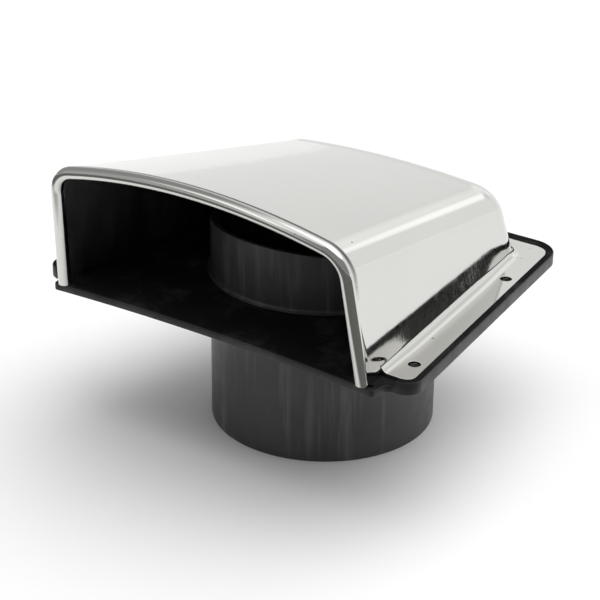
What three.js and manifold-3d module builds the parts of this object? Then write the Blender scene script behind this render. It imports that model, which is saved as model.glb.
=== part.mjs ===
// Low-profile cowl vent for a boat deck: a pressed stainless steel cowl, open at the
// front, sits in the recess of a black moulded base plate, and a round duct sleeve for a
// 4 inch (101.6 mm) hose passes through the plate and stands up inside as a water dam.
//
// Millimetres. +Z up, the mouth faces -Y, and the part is symmetric about X = 0.
// The shapes below are drawn about the duct axis with Z = 0 on the deck, and the whole
// assembly is then lifted so that its origin is the middle of its own footprint.

import * as THREE from 'three';
import { ConvexGeometry } from 'three/addons/geometries/ConvexGeometry.js';
import { mergeVertices } from 'three/addons/utils/BufferGeometryUtils.js';
import Module from 'manifold-3d';

const manifold = await Module();
manifold.setup();

// ---- driving dimensions ----

const ductDiameter = 101.6;
const ductWall = 3;
const ductDrop = 67.5; // how far the sleeve reaches below the deck
const damHeight = 22.6; // top of the sleeve above the deck, on the duct axis
const damSlope = 0.17; // the sleeve's top is cut parallel to the sloping roof

const plateThickness = 3.5;
const rimHeight = 6;
const rimWidth = 3.1;
const sheet = 1.2; // steel thickness
const fitGap = 0.3; // clearance between touching pieces
const flangeGap = 0.5; // clearance between the steel flange and the rim

const sideTaper = 0.142; // the plate narrows by this much each side, per mm towards the rear
const plateHalfWidth = 86.6; // at the duct axis
const plateRearY = 79.3;
const plateRearRadius = 14;
const earFrontY = -77; // the rimmed corners that flank the mouth start here
const earRadius = 7;
const tongueHalfWidth = 83.8; // the floor runs forward between the ears, under the mouth
const tongueFlare = 1.5; // the tongue is wider by this much each side where it meets the ears
const tongueFrontY = -86;
const tongueBow = 3.8; // the tongue's front edge is drawn in by this much at its middle
const tongueCornerRadius = 2;
const earFilletRadius = 3;
const rimStartX = 88; // the rim's front ends, either side of the tongue

const lipRadius = 2.9; // half the thickness of the rolled edge round the mouth
const lipProud = 0.15; // how far the rolled edge stands out past the walls and the roof
const lipInset = lipRadius - lipProud; // from the outside of the walls to the bead's centre line
const mouth = {
  footY: -84.25,
  lean: 0.13, // forward lean of the mouth's plane, per mm of height
  halfWidth: 81.4, // across the outside of the walls, at the plate
  wallLean: 0.09, // inward lean of the side walls, per mm of height
  shoulderZ: 60.9, // where the wall's line meets the roof's line
  apexZ: 77.8, // where the two sloping roof lines meet
  shoulderRadius: 15,
};
const tail = {
  footY: 53.3, // where the rear rounding starts
  lean: 0.3,
  halfWidth: 63.6,
  wallLean: 0.12,
  shoulderZ: 39.2,
  apexZ: 45.6,
  shoulderRadius: 16,
};
const tailRadius = 14; // rounding of the roof and the side walls into the rear wall

const flangeFrontY = -72.5;
const flangeFrontRadius = 4;
const flangeRearRadius = 10;
const screwHoleDiameter = 5.3;
const screwRows = [-59, 34.5]; // Y of the screw holes down each side
const screwInset = 5.4; // from the flange's edge to a hole's centre

// ---- derived dimensions ----

const ductRadius = ductDiameter / 2;
const boreRadius = ductRadius - ductWall;
const footZ = plateThickness + fitGap; // underside of the steel flange and walls
const flangeHalfWidth = plateHalfWidth - rimWidth - flangeGap;
const lipFrontY = mouth.footY - mouth.lean * (crownTop(mouth) - lipInset - plateThickness) - lipRadius;
const ductAxisY = -(lipFrontY + plateRearY) / 2; // puts the origin midway between lip and rear rim

// ---- fineness of the round shapes, and slack for cutting ----

const ductSegments = 96;
const holeSegments = 24;
const arcSteps = 10; // straight pieces that stand for one rounded corner
const tailSteps = 6; // rings that round the roof into the rear wall
const lipSteps = 72; // sections along the rolled edge
const lipCurveSegments = 7; // half of the sides of the rolled edge's section
const overcut = 1; // how far a cutting solid runs past the faces that it cuts
const skirt = 12; // how far the cowl's walls run down before they are trimmed off at footZ
const pastMouth = 8; // how far the cowl's hollow runs out in front of the mouth

// ---- outlines ----

// The radius of the arc that spans both halves of a shallow gable, from end to end.
function gableRadius(halfSpan, rise, spared) {
  return (Math.hypot(halfSpan, rise) - spared) * halfSpan / rise;
}

// Height of the top of a profile's crown, where the arc passes under the apex.
function crownTop({ shoulderZ, apexZ, halfWidth, wallLean, shoulderRadius }) {
  const halfSpan = halfWidth - wallLean * shoulderZ;
  const rise = apexZ - shoulderZ;
  const radius = gableRadius(halfSpan, rise, shoulderReach(halfSpan, rise, wallLean, shoulderRadius));
  return apexZ - radius * (Math.hypot(halfSpan, rise) / halfSpan - 1);
}

// How far a shoulder's arc reaches from the corner along the roof's line.
function shoulderReach(halfSpan, rise, wallLean, radius) {
  const turn = Math.PI / 2 - Math.atan(wallLean) - Math.atan(rise / halfSpan);
  return radius * Math.tan(turn / 2);
}

// Moves every edge of a closed outline inwards. A corner is [x, y, radius], and the
// outline runs anticlockwise. Arcs keep their centres.
function inset(corners, distance) {
  return corners.map(([x, y, radius], i) => {
    const here = new THREE.Vector2(x, y);
    const [beforeX, beforeY] = corners.at(i - 1);
    const [afterX, afterY] = corners[(i + 1) % corners.length];
    const inDirection = here.clone().sub(new THREE.Vector2(beforeX, beforeY)).normalize();
    const outDirection = new THREE.Vector2(afterX, afterY).sub(here).normalize();
    const turn = inDirection.cross(outDirection);
    const along = (1 - inDirection.dot(outDirection)) / turn;
    const moved = here
      .addScaledVector(new THREE.Vector2(-inDirection.y, inDirection.x), distance)
      .addScaledVector(inDirection, -distance * along);
    const movedRadius = radius > 0 ? Math.max(radius - Math.sign(turn) * distance, 0) : 0;
    return [moved.x, moved.y, movedRadius];
  });
}

// Traces an outline of [x, y, radius] corners, each rounded by a true arc.
function trace(corners) {
  return corners.flatMap(([x, y, radius], i) => {
    const here = new THREE.Vector2(x, y);
    if (radius === 0) return [here];
    const [beforeX, beforeY] = corners.at(i - 1);
    const [afterX, afterY] = corners[(i + 1) % corners.length];
    const toBefore = new THREE.Vector2(beforeX, beforeY).sub(here).normalize();
    const toAfter = new THREE.Vector2(afterX, afterY).sub(here).normalize();
    const halfAngle = Math.acos(toBefore.dot(toAfter)) / 2;
    const centre = toBefore.clone().add(toAfter).setLength(radius / Math.sin(halfAngle)).add(here);
    const reach = radius / Math.tan(halfAngle);
    const start = here.clone().addScaledVector(toBefore, reach).sub(centre).angle();
    const end = here.clone().addScaledVector(toAfter, reach).sub(centre).angle();
    const clockwise = toBefore.cross(toAfter) > 0;
    const arc = new THREE.EllipseCurve(centre.x, centre.y, radius, radius, start, end, clockwise);
    return arc.getPoints(arcSteps);
  });
}

// Adds the mirror image of a right-hand run of corners, to close an outline about X = 0.
function mirrored(rightCorners) {
  const leftCorners = rightCorners.map(([x, y, radius]) => [-x, y, radius]).reverse();
  return [...rightCorners, ...leftCorners];
}

// ---- solids ----

function toSolid(geometry) {
  geometry.deleteAttribute('normal');
  geometry.deleteAttribute('uv');
  const merged = mergeVertices(geometry, 1e-4);
  const mesh = new manifold.Mesh({
    numProp: 3,
    vertProperties: merged.attributes.position.array,
    triVerts: new Uint32Array(merged.index.array),
  });
  return new manifold.Manifold(mesh);
}

function toMesh(name, solid, material) {
  const { vertProperties, triVerts } = solid.getMesh();
  const geometry = new THREE.BufferGeometry();
  geometry.setAttribute('position', new THREE.BufferAttribute(vertProperties, 3));
  geometry.setIndex(new THREE.BufferAttribute(triVerts, 1));
  geometry.computeVertexNormals();
  const mesh = new THREE.Mesh(geometry, material);
  mesh.name = name;
  return mesh;
}

function slab(corners, fromZ, toZ) {
  const outline = new THREE.Shape(trace(corners));
  const geometry = new THREE.ExtrudeGeometry(outline, { depth: toZ - fromZ, bevelEnabled: false });
  geometry.translate(0, 0, fromZ);
  return toSolid(geometry);
}

function rod(x, y, radius, fromZ, toZ, segments) {
  const geometry = new THREE.CylinderGeometry(radius, radius, toZ - fromZ, segments);
  geometry.rotateX(Math.PI / 2);
  geometry.translate(x, y, (fromZ + toZ) / 2);
  return toSolid(geometry);
}

function screwHoles() {
  const centres = screwRows.flatMap((y) => {
    const x = flangeHalfWidth - sideTaper * y - screwInset;
    return [[x, y], [-x, y]];
  });
  return centres
    .map(([x, y]) => rod(x, y, screwHoleDiameter / 2, -overcut, rimHeight + overcut, holeSegments))
    .reduce((all, hole) => all.add(hole));
}

// ---- base plate ----

function plateCorners() {
  const earHalfWidth = plateHalfWidth - sideTaper * earFrontY;
  const rearHalfWidth = plateHalfWidth - sideTaper * plateRearY;
  const bowRadius = gableRadius(tongueHalfWidth, 2 * tongueBow, tongueCornerRadius);
  return [
    [0, tongueFrontY + 2 * tongueBow, bowRadius],
    ...mirrored([
      [tongueHalfWidth, tongueFrontY, tongueCornerRadius],
      [tongueHalfWidth + tongueFlare, earFrontY, earFilletRadius],
      [earHalfWidth, earFrontY, earRadius],
      [rearHalfWidth, plateRearY, plateRearRadius],
    ]),
  ];
}

// The recess that the steel flange lies in. It is open at the front, between the ears.
function recessCorners() {
  const outsideY = tongueFrontY - overcut;
  const frontY = earFrontY + rimWidth;
  const sideX = (y) => plateHalfWidth - sideTaper * y - rimWidth;
  const rearY = plateRearY - rimWidth;
  return mirrored([
    [rimStartX, outsideY, 0],
    [rimStartX, frontY, 0],
    [sideX(frontY), frontY, earRadius - rimWidth],
    [sideX(rearY), rearY, plateRearRadius - rimWidth],
  ]);
}

function basePlate() {
  const ductHole = rod(0, 0, ductRadius + fitGap, -overcut, rimHeight, ductSegments);
  return slab(plateCorners(), 0, rimHeight)
    .subtract(slab(recessCorners(), plateThickness, rimHeight + overcut))
    .subtract(ductHole)
    .subtract(screwHoles());
}

// ---- duct sleeve ----

// A straight sleeve with a small shoulder that rests on the plate around the hole.
function ductSleeve() {
  const shoulderWidth = 1.4;
  const shoulderHeight = 1.4;
  const frontHeight = damHeight + damSlope * ductRadius;
  const section = [
    [boreRadius, -ductDrop],
    [ductRadius, -ductDrop],
    [ductRadius, footZ],
    [ductRadius + shoulderWidth, footZ],
    [ductRadius + shoulderWidth, footZ + shoulderHeight / 2],
    [ductRadius, footZ + shoulderHeight],
    [ductRadius, frontHeight],
    [boreRadius, frontHeight],
    [boreRadius, -ductDrop],
  ];
  const tube = new THREE.LatheGeometry(
    section.map(([radius, z]) => new THREE.Vector2(radius, z)),
    ductSegments,
  );
  tube.rotateX(Math.PI / 2);
  const cutterSize = 3 * ductDiameter;
  const cutter = new THREE.BoxGeometry(cutterSize, cutterSize, cutterSize);
  cutter.translate(0, 0, cutterSize / 2);
  cutter.rotateX(-Math.atan(damSlope));
  cutter.translate(0, 0, damHeight);
  return toSolid(tube).subtract(toSolid(cutter));
}

// ---- cowl ----

// Cross-section of the cowl's outside: leaning walls, round shoulders and a crowned roof.
// It runs on below the plate, where the finished cowl is trimmed flat.
function cowlProfile({ halfWidth, wallLean, shoulderZ, apexZ, shoulderRadius }) {
  const shoulderX = halfWidth - wallLean * shoulderZ;
  const rise = apexZ - shoulderZ;
  const reach = shoulderReach(shoulderX, rise, wallLean, shoulderRadius);
  const crownRadius = gableRadius(shoulderX, rise, reach);
  const skirtX = halfWidth + wallLean * skirt;
  return [
    [skirtX, -skirt, 0],
    [shoulderX, shoulderZ, shoulderRadius],
    [0, apexZ, crownRadius],
    [-shoulderX, shoulderZ, shoulderRadius],
    [-skirtX, -skirt, 0],
  ];
}

// Stands a profile up in a plane that crosses the plate at footY and leans forward.
function stand(profile, footY, lean) {
  return trace(profile)
    .map(({ x, y: z }) => new THREE.Vector3(x, footY - lean * (z - plateThickness), z));
}

// The rear end: the profile shrinks along a quarter circle, which rounds the roof and
// the side walls into the rear wall.
function tailRings(wall) {
  const radius = tailRadius - wall;
  const profile = cowlProfile(tail);
  return Array.from({ length: tailSteps + 1 }, (_, i) => {
    const angle = (i / tailSteps) * Math.PI / 2;
    const shrunk = inset(profile, wall + radius * (1 - Math.cos(angle)));
    return stand(shrunk, tail.footY + radius * Math.sin(angle), tail.lean);
  });
}

// The filled cowl, inset by the given wall and run forward past the mouth if asked.
function cowlBody(wall, forward) {
  const mouthProfile = inset(cowlProfile(mouth), wall);
  const rings = [
    stand(mouthProfile, mouth.footY - forward, mouth.lean),
    stand(mouthProfile, mouth.footY, mouth.lean),
    ...tailRings(wall),
  ];
  return toSolid(new ConvexGeometry(rings.flat()));
}

function flangeCorners() {
  const rearY = plateRearY - rimWidth - flangeGap;
  const sideX = (y) => flangeHalfWidth - sideTaper * y;
  return mirrored([
    [sideX(flangeFrontY), flangeFrontY, flangeFrontRadius],
    [sideX(rearY), rearY, flangeRearRadius],
  ]);
}

// The rolled edge: a round bead that follows the mouth, all but flush with the outside.
function lip() {
  const profile = inset(cowlProfile(mouth), lipInset);
  const path = new THREE.CatmullRomCurve3(stand(profile, mouth.footY, mouth.lean));
  const section = new THREE.Shape();
  section.absarc(0, 0, lipRadius, 0, 2 * Math.PI);
  const geometry = new THREE.ExtrudeGeometry(section, {
    steps: lipSteps,
    extrudePath: path,
    curveSegments: lipCurveSegments,
  });
  return toSolid(geometry);
}

// Everything under the steel's foot, which trims the walls and the bead off flat.
function belowFoot() {
  const size = 4 * plateHalfWidth;
  const geometry = new THREE.BoxGeometry(size, size, size);
  geometry.translate(0, 0, footZ - size / 2);
  return toSolid(geometry);
}

function cowl() {
  return cowlBody(0, 0)
    .add(slab(flangeCorners(), footZ, footZ + sheet))
    .subtract(cowlBody(sheet, pastMouth))
    .add(lip())
    .subtract(belowFoot())
    .subtract(screwHoles());
}

// ---- assembly ----

const steel = new THREE.MeshStandardMaterial({ color: 0xd6d6d4, roughness: 0.08, metalness: 1 });
const blackPlate = new THREE.MeshStandardMaterial({ color: 0x17181a, roughness: 0.45, metalness: 0 });
const blackSleeve = new THREE.MeshStandardMaterial({ color: 0x1b1c1e, roughness: 0.5, metalness: 0 });

const group = new THREE.Group();
group.add(toMesh('cowl', cowl(), steel));
group.add(toMesh('base_plate', basePlate(), blackPlate));
group.add(toMesh('duct_sleeve', ductSleeve(), blackSleeve));
group.position.set(0, ductAxisY, ductDrop);

export default group;
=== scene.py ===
import math

import bmesh
import bpy
import numpy as np
from mathutils import Matrix, Vector

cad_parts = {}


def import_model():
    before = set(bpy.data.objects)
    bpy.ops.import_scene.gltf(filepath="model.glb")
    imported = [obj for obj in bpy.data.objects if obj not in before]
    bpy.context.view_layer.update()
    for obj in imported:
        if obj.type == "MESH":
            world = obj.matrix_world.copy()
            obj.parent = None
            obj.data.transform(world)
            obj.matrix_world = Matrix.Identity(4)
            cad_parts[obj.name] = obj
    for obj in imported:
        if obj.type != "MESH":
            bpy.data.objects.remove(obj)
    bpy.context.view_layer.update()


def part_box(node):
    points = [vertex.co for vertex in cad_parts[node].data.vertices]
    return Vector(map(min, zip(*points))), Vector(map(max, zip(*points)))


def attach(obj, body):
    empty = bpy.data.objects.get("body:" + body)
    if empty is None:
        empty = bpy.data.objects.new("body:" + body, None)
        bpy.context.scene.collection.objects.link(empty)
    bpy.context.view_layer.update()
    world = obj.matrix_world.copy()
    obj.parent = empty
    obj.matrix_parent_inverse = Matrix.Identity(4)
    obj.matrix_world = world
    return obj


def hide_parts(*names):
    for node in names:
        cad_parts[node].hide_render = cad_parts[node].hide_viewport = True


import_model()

# Looks of a low-profile marine cowl vent. Shapes are worked out in millimetres about the
# duct axis, with Z = 0 on the deck and the mouth facing -Y, and placed through the frame.

MM = 0.001
PLATE_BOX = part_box("base_plate")
SLEEVE_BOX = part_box("duct_sleeve")
DECK_Z = PLATE_BOX[0].z
DUCT_Y = (SLEEVE_BOX[0].y + SLEEVE_BOX[1].y) / 2

# ---- sizes in millimetres ----

PLATE_THICKNESS = 3.5
RIM_HEIGHT = (PLATE_BOX[1].z - PLATE_BOX[0].z) / MM
RIM_WIDTH = 3.1
RIM_ROUNDING = 1.0
RIM_INNER_ROUNDING = 0.5
FOOT_ROUNDING = 0.5
RECESS_FILLET = 0.4
SIDE_TAPER = 0.142  # what each side comes in by for every millimetre of Y
PLATE_HALF_WIDTH = 86.6  # at the duct axis
PLATE_REAR_Y = (PLATE_BOX[1].y - DUCT_Y) / MM
PLATE_REAR_RADIUS = 14.0
EAR_FRONT_Y = -77.0
EAR_RADIUS = 7.0
EAR_FILLET_RADIUS = 3.0
RIM_START_X = 88.4
RIM_START_REACH = 0.4  # the rim rises within this distance of its start
TONGUE_HALF_WIDTH = 83.8
TONGUE_FLARE = 1.5
TONGUE_FRONT_Y = (PLATE_BOX[0].y - DUCT_Y) / MM
TONGUE_BOW = 3.8
TONGUE_CORNER_RADIUS = 2.0

DUCT_RADIUS = 50.8
DUCT_WALL = 3.0
DUCT_DROP = (PLATE_BOX[0].z - SLEEVE_BOX[0].z) / MM
DAM_HEIGHT = 22.6
DAM_SLOPE = 0.17
SHOULDER_WIDTH = 1.4
SHOULDER_EDGE = 0.4
SLEEVE_ROUNDING = 0.6
FIT_GAP = 0.3

SHEET = 1.2
FOOT_Z = PLATE_THICKNESS + FIT_GAP
FLANGE_TOP_Z = FOOT_Z + SHEET
BEND_REACH = 3.0
BEND_Z = FLANGE_TOP_Z + BEND_REACH
FLARE = 0.80
FLARE_HEIGHT = 7.6
FLARE_START = (0.05, 0.33)  # shares of the way from the mouth to the tail
FLARE_END = (1.04, 0.74)
EDGE_ROUNDING = 0.2
SHARP_ANGLE = math.radians(50)  # a steeper edge is rounded
FLANGE_GAP = 0.5
FLANGE_HALF_WIDTH = PLATE_HALF_WIDTH - RIM_WIDTH - FLANGE_GAP
FLANGE_FRONT_Y = -72.5
FLANGE_FRONT_RADIUS = 4.0
RELIEF = 0.4  # notch in the sheet between the wall's foot and the flange's front end
FLANGE_REAR_RADIUS = 10.0
SCREW_HOLE_RADIUS = 2.65
SCREW_ROWS = (-59.0, 34.5)
SCREW_INSET = 5.4  # from the flange's edge

LIP_RADIUS = 2.85
LIP_DEPTH = 2.75  # from the outer skin in to the middle of the curl
CURL_END = math.radians(250)
NEAR_MOUTH = 0.05  # the share of the way back that gives the skin's slope at the mouth
TAIL_RADIUS = 14.0

# The cowl's section at the mouth, and where its sides start to bend into the rear wall.
# A lean is the distance that a plane or a wall leans over for every millimetre of height.
MOUTH = {
    "foot_y": -84.25,
    "lean": 0.13,
    "half_width": 81.4,
    "wall_lean": 0.09,
    "shoulder_z": 60.9,
    "apex_z": 77.8,
    "radius": 15.0,
}
TAIL = {
    "foot_y": 53.3,
    "lean": 0.3,
    "half_width": 63.6,
    "wall_lean": 0.12,
    "shoulder_z": 39.2,
    "apex_z": 45.6,
    "radius": 16.0,
}

# ---- fineness of the meshes ----

ARC_STEPS = 14
EDGE_STEPS = 3
RIM_STEPS = 4
SHOULDER_STEPS = 5
FOOT_ROWS = 3
FRONT_ROWS = 6
WALL_ROWS = 16
WALL_CROWDING = 1.4  # above 1, a wall's rows are closer together near the bend
SHOULDER_ROWS = 16
CROWN_ROWS = 22
TAIL_STEPS = 14
CURL_STEPS = 26
BEND_STEPS = 7
FLANGE_COLUMNS = 8
HOLE_ROWS = 8
HOLE_PATCH = 5.0
HOLE_RINGS = (0.0, 0.4, 0.75, 1.0)
HOLE_SEGMENTS = 32
CORNER_ROWS = 6
ROW_SPACING = 3.2
SLEEVE_SEGMENTS = 160
BEVEL_SEGMENTS = 2
WELD = 0.004  # points closer than this are one point
TINY = 1e-6

# ---- finishes: colours, and marks with their sizes in millimetres ----

STEEL_TINTS = ((0.632, 0.640, 0.610), (0.652, 0.645, 0.624))
SPECK_GREY = (0.25, 0.25, 0.24)
# the grey of the painted shade in the groove behind the rolled edge
GROOVE_SHADE_GREY = (0.05, 0.05, 0.047)
DULL_GREYS = ((0.38, 0.38, 0.37), (0.52, 0.52, 0.51))
PLATE_BLACK = (0.015, 0.015, 0.0155)
# the black of the plate's upward faces: a shaded copy of the plate's black, for painted shade
PLATE_TOP_SHADED_BLACK = (0.016, 0.016, 0.0165)
SLEEVE_BLACK = (0.042, 0.042, 0.0425)
DUST_GREY = (0.09, 0.09, 0.09)
MOTTLE = 0.7  # a black's mottle and its scuffs, as shares of the black
SCUFF = 3.0
SCUFF_COVER = 0.7
DUST_COVER = 0.5
PLATE_GRAIN = (60, 60, 60)
SLEEVE_GRAIN = (150, 150, 9)
POLISHED_ROUGHNESS = (0.04, 0.09)
PRESSED_ROUGHNESS = (0.28, 0.42)
MOULDED_ROUGHNESS = (0.34, 0.46)
# roughness of the painted shade in the groove behind the rolled edge
GROOVE_SHADE_ROUGHNESS = 0.6
WAVE_DEPTH = 0.02
POLISH_DEPTH = 0.0012
PRESSED_DEPTH = 0.01
MOULDED_DEPTH = 0.02
DRAW_MARK_DEPTH = 0.018
DRAW_MARK_HEIGHTS = (14.0, 20.0)
GROOVE_PLACE = 1.9  # behind the mouth's plane
GROOVE_REACH = (0.7, 1.8)
GROOVE_HEIGHTS = (40.0, 58.0)
# plate faces that look up more than this take the shaded copy of the black, with no reflection: painted
# shade
SHADED_FACING = 0.7  # plate faces that look up more than this are matte
NOISE_SPAN = (0.3, 0.7)  # where most values of a noise texture lie
WHOLE_SPAN = (0.0, 1.0)
SPECK_SPAN = (0.79, 0.82)
SCUFF_SPAN = (0.52, 0.76)
DUST_SPAN = (0.76, 0.80)
MIX_FACTOR, MIX_FIRST, MIX_SECOND, MIX_RESULT = 0, 6, 7, 2  # a mix node's sockets for colours

# ---- camera and studio: degrees, and millimetres from the duct axis at the deck ----

CAMERA_ANGLES = (36.01, 24.97, 0.62)  # azimuth, elevation, roll
CAMERA_LENS = 112.5
CAMERA_DISTANCE = 835.7
CAMERA_SIDE = -10.97
CAMERA_LIFT = -11.89
CLIP_END = 20.0  # metres, as are the floor's and the card's sizes
FLOOR_RADIUS = 4.0
FLOOR_SEGMENTS = 64
CARD_CORNERS = ((-2.5, -2.5), (2.5, -2.5), (2.5, 0.08), (-2.5, 0.08))
CARD_LIFT = 0.001
PATCH_CENTRE = (-0.12, 0.15, 0.0)
PATCH_EDGE = (0.355, 0.40)
PALE = (0.93, 0.93, 0.93)
PALER = (0.95, 0.95, 0.95)
# the grey of the card: painted shade on the ground, seen only in reflections
CARD_SHADE_GREY = (0.12, 0.12, 0.115)
STUDIO_ROUGHNESS = 0.9
SURROUND = 1.03
GLOWS = (  # direction, where its edge starts and ends in degrees, brightness
    ((0.60, -0.80, 0.10), 58, 66, 0.30),
    ((-0.45, 0.87, 0.15), 10, 25, 0.95),
    ((0.23, 0.82, 0.51), 6, 16, 0.85),
    ((-0.82, 0.08, 0.57), 24, 42, 0.34),
    ((-0.93, -0.25, 0.15), 16, 33, 0.34),
    ((0.25, 0.05, 0.97), 20, 40, 2.6),
    ((-0.53, -0.69, 0.49), 5, 14, 1.6),
    ((-0.72, -0.66, 0.20), 14, 24, 0.48),
    ((-0.15, 0.88, 0.45), 3, 17, 1.17),
    ((0.01, 0.96, 0.26), 0, 6, 1.45),
)


# ---- outlines ----

def unit(vector):
    return vector / np.linalg.norm(vector)


def quarter_turn(steps):
    """Angles from 0 to a right angle, both included."""
    return [step / steps * math.pi / 2 for step in range(steps + 1)]


def trace(corners):
    """Points of a closed anticlockwise outline of (x, y, radius) corners, each a true arc."""
    points = []
    for index, (x, y, radius) in enumerate(corners):
        here = np.array((x, y))
        if radius <= 0:
            points.append(here)
            continue
        before = unit(np.array(corners[index - 1][:2]) - here)
        after = unit(np.array(corners[(index + 1) % len(corners)][:2]) - here)
        half_angle = math.acos(float(before @ after)) / 2
        centre = here + unit(before + after) * radius / math.sin(half_angle)
        reach = radius / math.tan(half_angle)
        start = here + before * reach - centre
        end = here + after * reach - centre
        start_angle = math.atan2(start[1], start[0])
        turn = math.atan2(start[0] * end[1] - start[1] * end[0], float(start @ end))
        for step in range(ARC_STEPS + 1):
            angle = start_angle + turn * step / ARC_STEPS
            points.append(centre + radius * np.array((math.cos(angle), math.sin(angle))))
    return points


def inset(corners, distance):
    """Moves every edge of an outline inwards by the distance. Arcs keep their centres."""
    moved = []
    for index, (x, y, radius) in enumerate(corners):
        here = np.array((x, y))
        forward = unit(here - np.array(corners[index - 1][:2]))
        onward = unit(np.array(corners[(index + 1) % len(corners)][:2]) - here)
        turn = forward[0] * onward[1] - forward[1] * onward[0]
        along = (1 - float(forward @ onward)) / turn if abs(turn) > TINY else 0.0
        place = here + np.array((-forward[1], forward[0])) * distance - forward * distance * along
        new_radius = max(radius - math.copysign(distance, turn), TINY) if radius else 0.0
        moved.append((place[0], place[1], new_radius))
    return moved


def mirrored(right_corners):
    return right_corners + [(-x, y, radius) for x, y, radius in reversed(right_corners)]


def plate_half_width(y):
    return PLATE_HALF_WIDTH - SIDE_TAPER * y


def plate_corners():
    bow_radius = math.hypot(TONGUE_HALF_WIDTH, 2 * TONGUE_BOW) - TONGUE_CORNER_RADIUS
    bow_radius *= TONGUE_HALF_WIDTH / (2 * TONGUE_BOW)
    return [(0.0, TONGUE_FRONT_Y + 2 * TONGUE_BOW, bow_radius)] + mirrored([
        (TONGUE_HALF_WIDTH, TONGUE_FRONT_Y, TONGUE_CORNER_RADIUS),
        (TONGUE_HALF_WIDTH + TONGUE_FLARE, EAR_FRONT_Y, EAR_FILLET_RADIUS),
        (plate_half_width(EAR_FRONT_Y), EAR_FRONT_Y, EAR_RADIUS),
        (plate_half_width(PLATE_REAR_Y), PLATE_REAR_Y, PLATE_REAR_RADIUS),
    ])


def flange_corners():
    rear_y = PLATE_REAR_Y - RIM_WIDTH - FLANGE_GAP
    return mirrored([
        (FLANGE_HALF_WIDTH - SIDE_TAPER * FLANGE_FRONT_Y, FLANGE_FRONT_Y, FLANGE_FRONT_RADIUS),
        (FLANGE_HALF_WIDTH - SIDE_TAPER * rear_y, rear_y, FLANGE_REAR_RADIUS),
    ])


def screw_centres():
    right = [(FLANGE_HALF_WIDTH - SIDE_TAPER * y - SCREW_INSET, y) for y in SCREW_ROWS]
    return right + [(-x, y) for x, y in right]


def circle(centre, radius, segments):
    angles = np.arange(segments) * 2 * math.pi / segments
    return [np.array(centre) + radius * np.array((math.cos(angle), math.sin(angle))) for angle in angles]


# ---- mesh building ----

class Sheet:
    """Gathers faces given as points in millimetres, and makes one object of them."""

    def __init__(self, name):
        self.name = name
        self.mesh = bmesh.new()

    def vertex(self, point):
        x, y, z = (float(value) for value in point)
        return self.mesh.verts.new((x * MM, DUCT_Y + y * MM, DECK_Z + z * MM))

    def grid(self, rows, closed=False, keep=lambda row, column: True):
        """Smooth quads between rows of points. Each row closes on itself when asked."""
        lines = [[self.vertex(point) for point in row] for row in rows]
        for row, (line, next_line) in enumerate(zip(lines, lines[1:])):
            count = len(line)
            for column in range(count if closed else count - 1):
                if keep(row, column):
                    after = (column + 1) % count
                    corners = (line[column], line[after], next_line[after], next_line[column])
                    self.mesh.faces.new(corners).smooth = True

    def fill(self, loops, z):
        """Flat faces at height z between the first outline and the holes in it."""
        edges = []
        for loop in loops:
            ring = [self.vertex((x, y, z)) for x, y in distinct(loop)]
            edges += [self.mesh.edges.new((ring[end - 1], ring[end])) for end in range(len(ring))]
        bmesh.ops.triangle_fill(self.mesh, use_beauty=True, edges=edges)

    def finish(self, material):
        """Welds the patches, turns the faces outwards (the highest one up) and makes the object."""
        mesh = self.mesh
        bmesh.ops.remove_doubles(mesh, verts=mesh.verts, dist=WELD * MM)
        loose = [vertex for vertex in mesh.verts if not vertex.link_faces]
        bmesh.ops.delete(mesh, geom=loose, context="VERTS")
        bmesh.ops.recalc_face_normals(mesh, faces=mesh.faces)
        highest = max(mesh.faces, key=lambda face: face.calc_center_median().z)
        if highest.normal.z < 0:
            bmesh.ops.reverse_faces(mesh, faces=mesh.faces)
        data = bpy.data.meshes.new(self.name)
        mesh.to_mesh(data)
        mesh.free()
        data.materials.append(material)
        piece = bpy.data.objects.new(self.name, data)
        bpy.context.scene.collection.objects.link(piece)
        return piece


def distinct(points):
    """Leaves out a point that lies on the one before it."""
    return [end for start, end in zip(points[-1:] + points, points) if np.linalg.norm(end - start) > WELD]


def mix(start, end, share):
    return start + (end - start) * share


# ---- cowl ----

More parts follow.
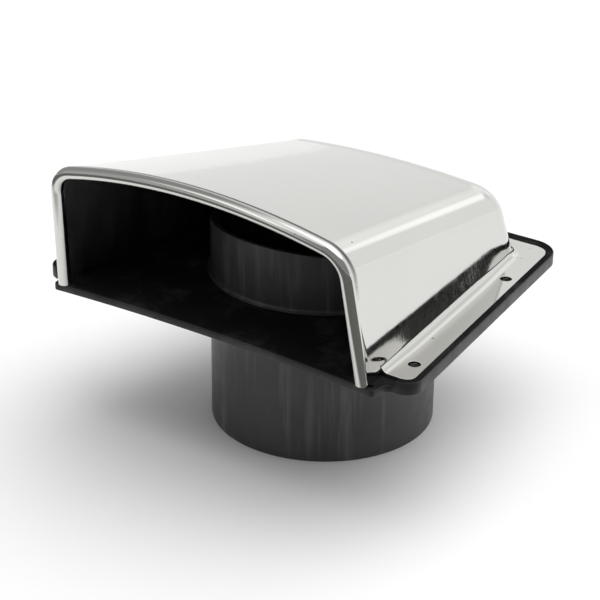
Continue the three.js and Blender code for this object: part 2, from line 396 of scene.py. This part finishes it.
def half_section(shape, depth):
    """Right half of the cowl's outside, inset by a depth: (x, z) points and outward normals."""
    lean_angle = math.atan(shape["wall_lean"])
    shoulder_x = shape["half_width"] - shape["wall_lean"] * shape["shoulder_z"]
    rise = shape["apex_z"] - shape["shoulder_z"]
    roof_angle = math.atan2(rise, shoulder_x)
    reach = shape["radius"] * math.tan((math.pi / 2 - lean_angle - roof_angle) / 2)
    crown_radius = (math.hypot(shoulder_x, rise) - reach) * shoulder_x / rise
    shoulder = np.array((shoulder_x, shape["shoulder_z"]))
    wall_out = np.array((math.cos(lean_angle), math.sin(lean_angle)))
    wall_up = np.array((-math.sin(lean_angle), math.cos(lean_angle)))
    roof_out = np.array((math.sin(roof_angle), math.cos(roof_angle)))
    roof_up = np.array((-math.cos(roof_angle), math.sin(roof_angle)))
    shoulder_centre = shoulder - reach * wall_up - shape["radius"] * wall_out
    crown_centre = shoulder + reach * roof_up - crown_radius * roof_out
    wall_top = shoulder_centre + (shape["radius"] - depth) * wall_out

    heights = np.concatenate((
        np.linspace(FOOT_Z, BEND_Z, FOOT_ROWS + 1)[:-1],
        mix(BEND_Z, wall_top[1], np.linspace(0, 1, WALL_ROWS + 1)[:-1] ** WALL_CROWDING),
    ))
    points = [wall_top + wall_up * (z - wall_top[1]) / wall_up[1] for z in heights]
    normals = [wall_out] * len(heights)
    for centre, radius, start, end, steps in (
        (shoulder_centre, shape["radius"], lean_angle, math.pi / 2 - roof_angle, SHOULDER_ROWS),
        (crown_centre, crown_radius, math.pi / 2 - roof_angle, math.pi / 2, CROWN_ROWS),
    ):
        for step in range(steps):
            angle = mix(start, end, step / steps)
            normals.append(np.array((math.cos(angle), math.sin(angle))))
            points.append(centre + (radius - depth) * normals[-1])
    points.append(crown_centre + np.array((0.0, crown_radius - depth)))
    normals.append(np.array((0.0, 1.0)))
    return points, normals


def section(shape, depth=0.0):
    """The whole section, from the right foot over the crown to the left foot."""
    points, normals = half_section(shape, depth)
    flip = np.array((-1.0, 1.0))
    points += [point * flip for point in reversed(points[:-1])]
    normals += [normal * flip for normal in reversed(normals[:-1])]
    return points, normals


def stand(point, foot_y, lean):
    """Stands a point of a section up in a plane that leans forward."""
    x, z = point
    return np.array((x, foot_y - lean * (z - PLATE_THICKNESS), z))


def eased(value, start, end):
    """Rises smoothly from 0 at the start to 1 at the end."""
    t = min(max((value - start) / (end - start), 0.0), 1.0)
    return t * t * (3 - 2 * t)


def flared(point, share):
    """Spreads the foot of a side wall outwards, most of all halfway along it."""
    rise = max(1 - (point[1] - BEND_Z) / FLARE_HEIGHT, 0.0)
    spread = FLARE * rise ** 2 * eased(share, *FLARE_START) * eased(share, *FLARE_END)
    return point + np.array((math.copysign(spread, point[0]), 0.0))


def station(share):
    """The cowl's section a share of the way from the mouth to the tail."""
    shape = {key: mix(MOUTH[key], TAIL[key], share) for key in MOUTH}
    points = [flared(point, share) for point in section(shape)[0]]
    return [stand(point, shape["foot_y"], shape["lean"]) for point in points]


def flange_y(shape):
    """Y of a section's plane where it meets the flange."""
    return shape["foot_y"] - shape["lean"] * (FLANGE_TOP_Z - PLATE_THICKNESS)


def station_share(y):
    """How far from the mouth to the tail a side wall's foot lies, for its Y on the flange."""
    front = flange_y(MOUTH)
    return (y - front) / (flange_y(TAIL) - front)


def tail_ring(angle):
    """The cowl's section an angle round the bend between its sides and its rear wall."""
    foot_y = TAIL["foot_y"] + TAIL_RADIUS * math.sin(angle)
    points = section(TAIL, TAIL_RADIUS * (1 - math.cos(angle)))[0]
    return [stand(point, foot_y, TAIL["lean"]) for point in points]


def rolled_edge():
    """Columns of points round the rolled edge, from the end of the curl to the outer skin."""
    points, normals = section(MOUTH)
    behind = station(NEAR_MOUTH)
    forward = unit(np.array((0.0, -1.0, -MOUTH["lean"])))
    lines = []
    for point, (out_x, out_z), back in zip(points, normals, behind):
        edge = stand(point, MOUTH["foot_y"], MOUTH["lean"])
        outward = unit(np.array((out_x, -MOUTH["lean"] * out_z, out_z)))
        skin = unit(edge - back)
        rise = math.atan2(float(skin @ outward), float(skin @ forward))
        start = -math.acos(LIP_DEPTH * math.cos(rise) / LIP_RADIUS) - rise
        centre = edge - LIP_DEPTH * outward
        angles = [mix(CURL_END, start, step / CURL_STEPS) for step in range(CURL_STEPS + 1)]
        lines.append([
            centre + LIP_RADIUS * (math.sin(angle) * forward + math.cos(angle) * outward)
            for angle in angles
        ])
    for foot, above in ((0, 1), (-1, -2)):  # the edge ends level with the sheet's foot
        for step, point in enumerate(lines[foot]):
            along = point - lines[above][step]
            lines[foot][step] = point + along * (FOOT_Z - point[2]) / along[2]
    return [list(column) for column in zip(*lines)]


def station_rows():
    """Y of every station behind the rolled edge, and where the screw hole patches start."""
    corner = np.linspace(0, math.pi / 2, CORNER_ROWS + 1)
    rows = list(np.linspace(MOUTH["foot_y"] + LIP_DEPTH, FLANGE_FRONT_Y - RELIEF, FRONT_ROWS))
    first_flange = len(rows)
    rows += list(FLANGE_FRONT_Y + WELD + FLANGE_FRONT_RADIUS * (1 - np.cos(corner)))
    patches = []
    for hole_y in SCREW_ROWS:
        start = hole_y - HOLE_PATCH
        count = math.ceil((start - rows[-1]) / ROW_SPACING)
        rows += list(np.linspace(rows[-1], start, count + 1)[1:])
        patches.append(len(rows) - 1 - first_flange)
        rows += list(np.linspace(start, hole_y + HOLE_PATCH, HOLE_ROWS + 1)[1:])
    count = math.ceil((flange_y(TAIL) - rows[-1]) / ROW_SPACING)
    rows += list(np.linspace(rows[-1], flange_y(TAIL), count + 1)[1:])
    return rows, first_flange, patches


def rear_wall(ring):
    """A flat patch that closes the last ring, blended from its four sides: rows from foot to crown."""
    side = WALL_ROWS + SHOULDER_ROWS // 2
    right = ring[:side + 1]
    left = ring[::-1][:side + 1]
    top = ring[side:len(ring) - side]
    across = len(top) - 1
    rows = []
    for up in range(side + 1):
        v = up / side
        row = []
        for step in range(across + 1):
            u = step / across
            sides = mix(right[up], left[up], u)
            ends = mix(mix(right[0], left[0], u), top[step], v)
            corners = mix(mix(right[0], left[0], u), mix(right[side], left[side], u), v)
            row.append(sides + ends - corners)
        rows.append(row)
    return rows


def bend(wall_point, above, outward):
    """A circular bend from the wall down into the flange, tangent to both."""
    down = unit(wall_point - above)
    corner = wall_point + down * (FLANGE_TOP_Z - wall_point[2]) / down[2]
    reach = np.linalg.norm(corner - wall_point)
    end = corner + reach * outward
    weight = math.cos(math.acos(float(down @ outward)) / 2)
    points = []
    for step in range(BEND_STEPS + 1):
        t = step / BEND_STEPS
        parts = ((1 - t) ** 2, 2 * weight * t * (1 - t), t ** 2)
        points.append((parts[0] * wall_point + parts[1] * corner + parts[2] * end) / sum(parts))
    return points


def edge_ahead(origin, direction, outline):
    """The point of a plan outline that a level line from the origin runs into."""
    best = None
    for index, end in enumerate(outline):
        start = outline[index - 1]
        side = end - start
        cross = direction[0] * side[1] - direction[1] * side[0]
        if abs(cross) < TINY:
            continue
        gap = start - origin[:2]
        distance = (gap[0] * side[1] - gap[1] * side[0]) / cross
        share = (gap[0] * direction[1] - gap[1] * direction[0]) / cross
        if distance > 0 and -TINY <= share <= 1 + TINY and (best is None or distance < best):
            best = distance
    return origin + best * direction


def hole_patch(sheet, rows, first_row, centre):
    """Quads from a square patch of the flange to the round edge of a screw hole."""
    columns = range(BEND_STEPS, BEND_STEPS + FLANGE_COLUMNS + 1)
    near, far = first_row, first_row + HOLE_ROWS
    border = [rows[near][column] for column in columns][:-1]
    border += [rows[row][columns[-1]] for row in range(near, far)]
    border += [rows[far][column] for column in reversed(columns)][:-1]
    border += [rows[row][columns[0]] for row in range(far, near, -1)]
    middle = np.array((centre[0], centre[1], FLANGE_TOP_Z))
    hole = [middle + SCREW_HOLE_RADIUS * unit(point - middle) for point in border]
    rings = [[mix(*pair, share) for pair in zip(border, hole)] for share in HOLE_RINGS]
    sheet.grid(rings, closed=True)


def wall_feet(stations, turns, rings, rear):
    """Where the flange starts, from its front to halfway along the rear: (point, one above, outward)."""
    feet = []
    for column, angle in zip(stations + rings, [0.0] * len(stations) + turns):
        outward = np.array((math.cos(angle), math.sin(angle), 0.0))
        feet.append((column[FOOT_ROWS], column[FOOT_ROWS + 1], outward))
    backward = np.array((0.0, 1.0, 0.0))
    middle = len(rear[0]) // 2
    return feet + [(foot, above, backward) for foot, above in zip(rear[0], rear[1])][1:middle + 1]


def flange_rows(feet):
    """Rows of points down the bend and across the flange to its edge, one row for each foot."""
    outline = trace(flange_corners())
    rows = []
    for wall_point, above, outward in feet:
        row = bend(wall_point, above, outward)
        edge = edge_ahead(row[-1], outward, outline)
        row += [mix(row[-1], edge, step / FLANGE_COLUMNS) for step in range(1, FLANGE_COLUMNS + 1)]
        rows.append(row)
    return rows


def cowl(material, inner_material):
    sheet = Sheet("cowl_shell")
    rows, first_flange, patches = station_rows()
    lip = rolled_edge()
    stations = [station(station_share(y)) for y in rows]
    turns = quarter_turn(TAIL_STEPS)[1:]
    rings = [tail_ring(turn) for turn in turns]
    skin = lip + stations + rings
    sheet.grid([column[FOOT_ROWS:-FOOT_ROWS] for column in skin])
    front = skin[:len(lip) + first_flange]
    sheet.grid([column[:FOOT_ROWS + 1] for column in front])
    sheet.grid([column[-FOOT_ROWS - 1:] for column in front])
    rear = rear_wall(rings[-1][FOOT_ROWS:-FOOT_ROWS])
    sheet.grid(rear)
    flange = flange_rows(wall_feet(stations[first_flange:], turns, rings, rear))

    def outside_holes(row, column):
        return column < BEND_STEPS or not any(start <= row < start + HOLE_ROWS for start in patches)

    for side in (1, -1):
        turned = [[point * np.array((side, 1, 1)) for point in row] for row in flange]
        sheet.grid(turned, keep=outside_holes)
        for start, (x, y) in zip(patches, screw_centres()):
            hole_patch(sheet, turned, start, (side * x, y))
    piece = sheet.finish(material)
    piece.data.materials.append(inner_material)
    thicken(piece)
    return piece


def thicken(piece):
    """Gives the pressed sheet its thickness, inwards, and softens its cut edges."""
    solid = piece.modifiers.new("sheet", "SOLIDIFY")
    solid.thickness = SHEET * MM
    solid.offset = -1
    solid.use_even_offset = True
    solid.material_offset = 1
    bevel = piece.modifiers.new("edges", "BEVEL")
    bevel.width = EDGE_ROUNDING * MM
    bevel.segments = BEVEL_SEGMENTS
    bevel.limit_method = "ANGLE"
    bevel.angle_limit = SHARP_ANGLE
    bevel.harden_normals = True


# ---- base plate ----

def rimmed_corners():
    """The plate's corners, with two points more at the front of each ear, where the rim starts."""
    corners = plate_corners()
    right_ear, left_ear = (place for place, corner in enumerate(corners) if corner[2] == EAR_RADIUS)
    places = (RIM_START_X - RIM_START_REACH, RIM_START_X + RIM_START_REACH)
    corners[left_ear + 1:left_ear + 1] = [(-x, EAR_FRONT_Y, 0.0) for x in reversed(places)]
    corners[right_ear:right_ear] = [(x, EAR_FRONT_Y, 0.0) for x in places]
    return corners


def plate_loops():
    """Rings of points up the plate's outer edge, over the rim and down into the recess."""
    corners = rimmed_corners()
    raised = [
        y > EAR_FRONT_Y + WELD or (abs(x) > RIM_START_X and y > EAR_FRONT_Y - WELD)
        for x, y in trace(corners)
    ]

    def loop(depth, raised_z, flat_z):
        return [
            np.array((x, y, raised_z if up else flat_z))
            for (x, y), up in zip(trace(inset(corners, depth)), raised)
        ]

    loops = []
    for angle in quarter_turn(EDGE_STEPS):
        z = FOOT_ROUNDING * (1 - math.cos(angle))
        loops.append(loop(FOOT_ROUNDING * (1 - math.sin(angle)), z, z))
    for angle in quarter_turn(RIM_STEPS):
        drop = RIM_ROUNDING * (1 - math.sin(angle))
        depth = RIM_ROUNDING * (1 - math.cos(angle))
        loops.append(loop(depth, RIM_HEIGHT - drop, PLATE_THICKNESS - drop))
    for angle in quarter_turn(EDGE_STEPS):
        depth = RIM_WIDTH - RIM_INNER_ROUNDING * (1 - math.sin(angle))
        z = RIM_HEIGHT - RIM_INNER_ROUNDING * (1 - math.cos(angle))
        loops.append(loop(depth, z, PLATE_THICKNESS))
    loops.append(loop(RIM_WIDTH, PLATE_THICKNESS + RECESS_FILLET, PLATE_THICKNESS))
    loops.append(loop(RIM_WIDTH + RECESS_FILLET, PLATE_THICKNESS, PLATE_THICKNESS))
    return loops


def base_plate(material, shaded_top_material):
    sheet = Sheet("base_plate_moulding")
    loops = plate_loops()
    sheet.grid(loops, closed=True)
    holes = [circle((0, 0), DUCT_RADIUS + FIT_GAP, SLEEVE_SEGMENTS)]
    holes += [circle(centre, SCREW_HOLE_RADIUS, HOLE_SEGMENTS) for centre in screw_centres()]
    sheet.fill([[point[:2] for point in loops[-1]]] + holes, PLATE_THICKNESS)
    sheet.fill([[point[:2] for point in loops[0]]] + holes, 0.0)
    for hole in holes:
        sheet.grid([[np.append(point, z) for point in hole] for z in (PLATE_THICKNESS, 0.0)], closed=True)
    piece = sheet.finish(material)
    piece.data.materials.append(shaded_top_material)
    # painted shade: faces that look up take the second copy of the black, which has no reflection
    for face in piece.data.polygons:
        face.material_index = int(face.normal.z > SHADED_FACING)
    return piece


# ---- duct sleeve ----

def sleeve_corner(radius, z, start, share):
    """A rounded corner of the sleeve's section: its centre, and the angle where it starts."""
    angles = [start + turn for turn in quarter_turn(EDGE_STEPS)]
    return [
        (radius + SLEEVE_ROUNDING * math.cos(angle), z + SLEEVE_ROUNDING * math.sin(angle), share)
        for angle in angles
    ]


def sleeve_section():
    """(radius, z, share) round the tube's wall, where a share of 1 follows the sloping top."""
    inner = DUCT_RADIUS - DUCT_WALL + SLEEVE_ROUNDING
    outer = DUCT_RADIUS - SLEEVE_ROUNDING
    low = SLEEVE_ROUNDING - DUCT_DROP
    high = DAM_HEIGHT - SLEEVE_ROUNDING
    points = sleeve_corner(inner, low, math.pi, 0)
    points += sleeve_corner(outer, low, math.pi * 3 / 2, 0)
    points.append((DUCT_RADIUS, FOOT_Z - SLEEVE_ROUNDING, 0))
    points.append((DUCT_RADIUS, FOOT_Z, 0))
    points.append((DUCT_RADIUS + SHOULDER_WIDTH, FOOT_Z, 0))
    for angle in quarter_turn(SHOULDER_STEPS):
        radius = DUCT_RADIUS + SHOULDER_WIDTH * (1 - math.sin(angle))
        points.append((radius, FOOT_Z + SHOULDER_EDGE + SHOULDER_WIDTH * (1 - math.cos(angle)), 0))
    points += sleeve_corner(outer, high, 0, 1)
    points += sleeve_corner(inner, high, math.pi / 2, 1)
    points.append(points[0])
    return points


def duct_sleeve(material):
    sheet = Sheet("duct_sleeve_tube")
    rows = []
    for radius, z, share in sleeve_section():
        ring = circle((0, 0), radius, SLEEVE_SEGMENTS)
        rows.append([np.array((x, y, z - share * DAM_SLOPE * y)) for x, y in ring])
    sheet.grid(rows, closed=True)
    return sheet.finish(material)


# ---- materials ----

def new_material(name):
    material = bpy.data.materials.new(name)
    material.use_nodes = True
    tree = material.node_tree
    return material, tree, tree.nodes["Principled BSDF"]


def node(tree, kind, links=None, values=None, **settings):
    """Adds a node, sets its fields and inputs, and links other nodes' outputs into it."""
    made = tree.nodes.new(kind)
    for field, value in settings.items():
        setattr(made, field, value)
    for socket, value in (values or {}).items():
        made.inputs[socket].default_value = value
    for socket, output in (links or {}).items():
        tree.links.new(output, made.inputs[socket])
    return made


def object_place(tree):
    return node(tree, "ShaderNodeTexCoord").outputs["Object"]


def computed(tree, operation, *terms):
    """The result of a math node. A term is another node's output or a number."""
    made = node(tree, "ShaderNodeMath", operation=operation)
    for index, term in enumerate(terms):
        if isinstance(term, float):
            made.inputs[index].default_value = term
        else:
            tree.links.new(term, made.inputs[index])
    return made.outputs["Value"]


def measured(tree, operation, vector, fixed):
    """The dot product or the distance of a node's vector and a fixed one."""
    made = node(tree, "ShaderNodeVectorMath", {0: vector}, {1: fixed}, operation=operation)
    return made.outputs["Value"]


def noise(tree, scale=1.0, stretch=(1, 1, 1), detail=3.0, roughness=0.5):
    """Noise in the object's own space. The smaller an axis' stretch, the longer the grain along it."""
    mapping = node(tree, "ShaderNodeMapping", {"Vector": object_place(tree)}, {"Scale": stretch})
    texture = node(
        tree, "ShaderNodeTexNoise", {"Vector": mapping.outputs["Vector"]},
        {"Scale": scale, "Detail": detail, "Roughness": roughness},
    )
    return texture.outputs["Fac"]


def mapped(tree, value, low, high, span=NOISE_SPAN, interpolation="LINEAR"):
    """Carries the values of a span over to those from low to high, and holds the others there."""
    return node(
        tree, "ShaderNodeMapRange", {"Value": value},
        {"From Min": span[0], "From Max": span[1], "To Min": low, "To Max": high},
        interpolation_type=interpolation,
    ).outputs["Result"]


def blended(tree, factor, first, second):
    mixer = node(tree, "ShaderNodeMix", {MIX_FACTOR: factor}, data_type="RGBA")
    for socket, colour in ((MIX_FIRST, first), (MIX_SECOND, second)):
        if isinstance(colour, tuple):
            mixer.inputs[socket].default_value = (*colour, 1)
        else:
            tree.links.new(colour, mixer.inputs[socket])
    return mixer.outputs[MIX_RESULT]


def bumped(tree, height, depth, under=None, strength=None):
    """A normal bumped by a height, on top of another one and as strongly as a node says, if given."""
    links = {"Height": height, "Normal": under, "Strength": strength}
    given = {socket: output for socket, output in links.items() if output is not None}
    made = node(tree, "ShaderNodeBump", given, {"Strength": 1.0, "Distance": depth * MM})
    return made.outputs["Normal"]


def painted_groove_shade(tree, position, height):
    """Painted shade in the groove behind the rolled edge: 1 along the top, and 0 low on the sides."""
    foot = DUCT_Y + (MOUTH["foot_y"] + GROOVE_PLACE) * MM
    groove = foot + MOUTH["lean"] * (DECK_Z + PLATE_THICKNESS * MM)
    along = measured(tree, "DOT_PRODUCT", position, (0, 1, MOUTH["lean"]))
    distance = computed(tree, "ABSOLUTE", computed(tree, "SUBTRACT", along, groove))
    near = mapped(tree, distance, 1, 0, [reach * MM for reach in GROOVE_REACH])
    high = mapped(tree, height, 0, 1, [DECK_Z + z * MM for z in GROOVE_HEIGHTS])
    return computed(tree, "MULTIPLY", near, high)


def polished_steel():
    """Mirror-polished pressing: waves, polishing lines, specks, draw marks and painted shade in the
    groove.
    """
    material, tree, shader = new_material("polished_steel")
    position = object_place(tree)
    height = node(tree, "ShaderNodeSeparateXYZ", {"Vector": position}).outputs["Z"]
    # painted shade along the groove behind the rolled edge: a dark grey, unmetallic, rougher band
    shade_band = painted_groove_shade(tree, position, height)
    tint = blended(tree, mapped(tree, noise(tree, scale=22), 0, 1), *STEEL_TINTS)
    specks = mapped(tree, noise(tree, scale=420, detail=1.0), 0, 1, SPECK_SPAN)
    colour = blended(tree, shade_band, blended(tree, specks, tint, SPECK_GREY), GROOVE_SHADE_GREY)
    tree.links.new(colour, shader.inputs["Base Color"])
    tree.links.new(mapped(tree, shade_band, 1, 0, WHOLE_SPAN), shader.inputs["Metallic"])
    lines = noise(tree, stretch=(150, 1500, 150), detail=2.0)
    dulled = mapped(tree, shade_band, 0, GROOVE_SHADE_ROUGHNESS, WHOLE_SPAN)
    rough = computed(tree, "ADD", mapped(tree, lines, *POLISHED_ROUGHNESS), dulled)
    tree.links.new(rough, shader.inputs["Roughness"])
    waves = bumped(tree, noise(tree, scale=90, detail=1.0), WAVE_DEPTH)
    fine = bumped(tree, lines, POLISH_DEPTH, under=waves)
    marks = noise(tree, stretch=(60, 900, 90), roughness=0.7)
    near_bend = mapped(tree, height, 1, 0, [DECK_Z + z * MM for z in DRAW_MARK_HEIGHTS])
    marked = bumped(tree, marks, DRAW_MARK_DEPTH, under=fine, strength=near_bend)
    tree.links.new(marked, shader.inputs["Normal"])
    return material


def pressed_steel():
    """The inside of the pressing, left dull and grey as it came from the tool."""
    material, tree, shader = new_material("pressed_steel")
    streaks = noise(tree, stretch=(160, 160, 18), detail=4.0, roughness=0.6)
    colour = blended(tree, mapped(tree, streaks, 0, 1), *DULL_GREYS)
    tree.links.new(colour, shader.inputs["Base Color"])
    shader.inputs["Metallic"].default_value = 1.0
    tree.links.new(mapped(tree, streaks, *PRESSED_ROUGHNESS), shader.inputs["Roughness"])
    tree.links.new(bumped(tree, streaks, PRESSED_DEPTH), shader.inputs["Normal"])
    return material


def black_moulding(name, colour, grain, shine):
    """Moulded black plastic: satin, faintly mottled, dusty, and scuffed along its grain."""
    material, tree, shader = new_material(name)
    dark = tuple(MOTTLE * value for value in colour)
    pale = tuple(SCUFF * value for value in colour)
    base = blended(tree, mapped(tree, noise(tree, scale=60), 0, 1), dark, colour)
    scuffs = noise(tree, stretch=grain, detail=4.0, roughness=0.65)
    base = blended(tree, mapped(tree, scuffs, 0, SCUFF_COVER, SCUFF_SPAN), base, pale)
    dust = noise(tree, scale=900, detail=1.0)
    base = blended(tree, mapped(tree, dust, 0, DUST_COVER, DUST_SPAN), base, DUST_GREY)
    tree.links.new(base, shader.inputs["Base Color"])
    rough = mapped(tree, noise(tree, scale=140), *MOULDED_ROUGHNESS)
    tree.links.new(rough, shader.inputs["Roughness"])
    shader.inputs["Specular IOR Level"].default_value = shine
    skin = bumped(tree, noise(tree, scale=700, detail=2.0), MOULDED_DEPTH)
    tree.links.new(skin, shader.inputs["Normal"])
    return material


# ---- studio ----

def staged(name, mesh, material):
    """Makes one object of the studio, which isn't part of the vent."""
    data = bpy.data.meshes.new(name)
    mesh.to_mesh(data)
    mesh.free()
    data.materials.append(material)
    made = bpy.data.objects.new(name, data)
    bpy.context.scene.collection.objects.link(made)
    return made


def floor():
    mesh = bmesh.new()
    bmesh.ops.create_circle(mesh, cap_ends=True, segments=FLOOR_SEGMENTS, radius=FLOOR_RADIUS)
    material, tree, shader = new_material("pale_floor")
    shade = mapped(tree, noise(tree, scale=3), 0, 1)
    tree.links.new(blended(tree, shade, PALE, PALER), shader.inputs["Base Color"])
    shader.inputs["Roughness"].default_value = STUDIO_ROUGHNESS
    staged("studio_floor", mesh, material)


def reflection_card():
    """A grey sheet round a pale patch on the ground, which only reflections see: painted shade in
    reflection, which streaks the rolled edge.
    """
    mesh = bmesh.new()
    mesh.faces.new([mesh.verts.new((x, y, CARD_LIFT)) for x, y in CARD_CORNERS])
    material, tree, shader = new_material("shade_card")
    # painted shade: grey beyond the pale patch, seen only in reflections
    distance = measured(tree, "DISTANCE", object_place(tree), PATCH_CENTRE)
    colour = blended(tree, mapped(tree, distance, 0, 1, PATCH_EDGE), PALE, CARD_SHADE_GREY)
    tree.links.new(colour, shader.inputs["Base Color"])
    shader.inputs["Roughness"].default_value = STUDIO_ROUGHNESS
    card = staged("studio_card", mesh, material)
    card.visible_camera = False
    card.visible_diffuse = False
    card.visible_shadow = False


def world():
    """A pale surround with soft dark and bright areas in it."""
    made = bpy.data.worlds.new("studio")
    made.use_nodes = True
    tree = made.node_tree
    background = tree.nodes["Background"]
    direction = node(tree, "ShaderNodeTexCoord").outputs["Generated"]
    light = (SURROUND, SURROUND, SURROUND)
    for axis, inner, outer, level in GLOWS:
        facing = measured(tree, "DOT_PRODUCT", direction, Vector(axis).normalized())
        edge = [math.cos(math.radians(angle)) for angle in (outer, inner)]
        share = mapped(tree, facing, 0, 1, edge, "SMOOTHSTEP")
        light = blended(tree, share, light, (level, level, level))
    tree.links.new(light, background.inputs["Color"])
    background.inputs["Strength"].default_value = 1.0
    bpy.context.scene.world = made


def camera():
    """Looks along a direction given by two angles, turned by the roll and moved sideways."""
    azimuth, elevation, roll = (math.radians(angle) for angle in CAMERA_ANGLES)
    back = Vector((
        math.sin(azimuth) * math.cos(elevation),
        -math.cos(azimuth) * math.cos(elevation),
        math.sin(elevation),
    ))
    level = Vector((math.cos(azimuth), math.sin(azimuth), 0))
    upright = back.cross(level)
    right = level * math.cos(roll) + upright * math.sin(roll)
    up = upright * math.cos(roll) - level * math.sin(roll)
    data = bpy.data.cameras.new("camera")
    data.lens = CAMERA_LENS
    data.clip_end = CLIP_END
    made = bpy.data.objects.new("camera", data)
    place = back * CAMERA_DISTANCE + right * CAMERA_SIDE + up * CAMERA_LIFT
    rotation = [[right[i], up[i], back[i]] for i in range(3)]
    made.matrix_world = Matrix(rotation).to_4x4()
    made.location = place * MM + Vector((0, DUCT_Y, DECK_Z))
    bpy.context.scene.collection.objects.link(made)
    bpy.context.scene.camera = made


# ---- assembly ----

camera()
floor()
reflection_card()
world()
bpy.context.scene.view_settings.view_transform = "Standard"

steel = polished_steel()
plate_black = black_moulding("black_plate", PLATE_BLACK, PLATE_GRAIN, shine=0.35)
# a shaded copy of the plate's black with no reflection, for painted shade on the plate's top
plate_top_shaded = black_moulding("black_plate_top_shaded", PLATE_TOP_SHADED_BLACK, PLATE_GRAIN, shine=0.0)
sleeve_black = black_moulding("black_sleeve", SLEEVE_BLACK, SLEEVE_GRAIN, shine=0.5)
for piece, cad_node, slot in (
    (cowl(steel, pressed_steel()), "cowl", "polished_steel"),
    (base_plate(plate_black, plate_top_shaded), "base_plate", "black_plate"),
    (duct_sleeve(sleeve_black), "duct_sleeve", "black_sleeve"),
):
    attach(piece, "root")
    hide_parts(cad_node)
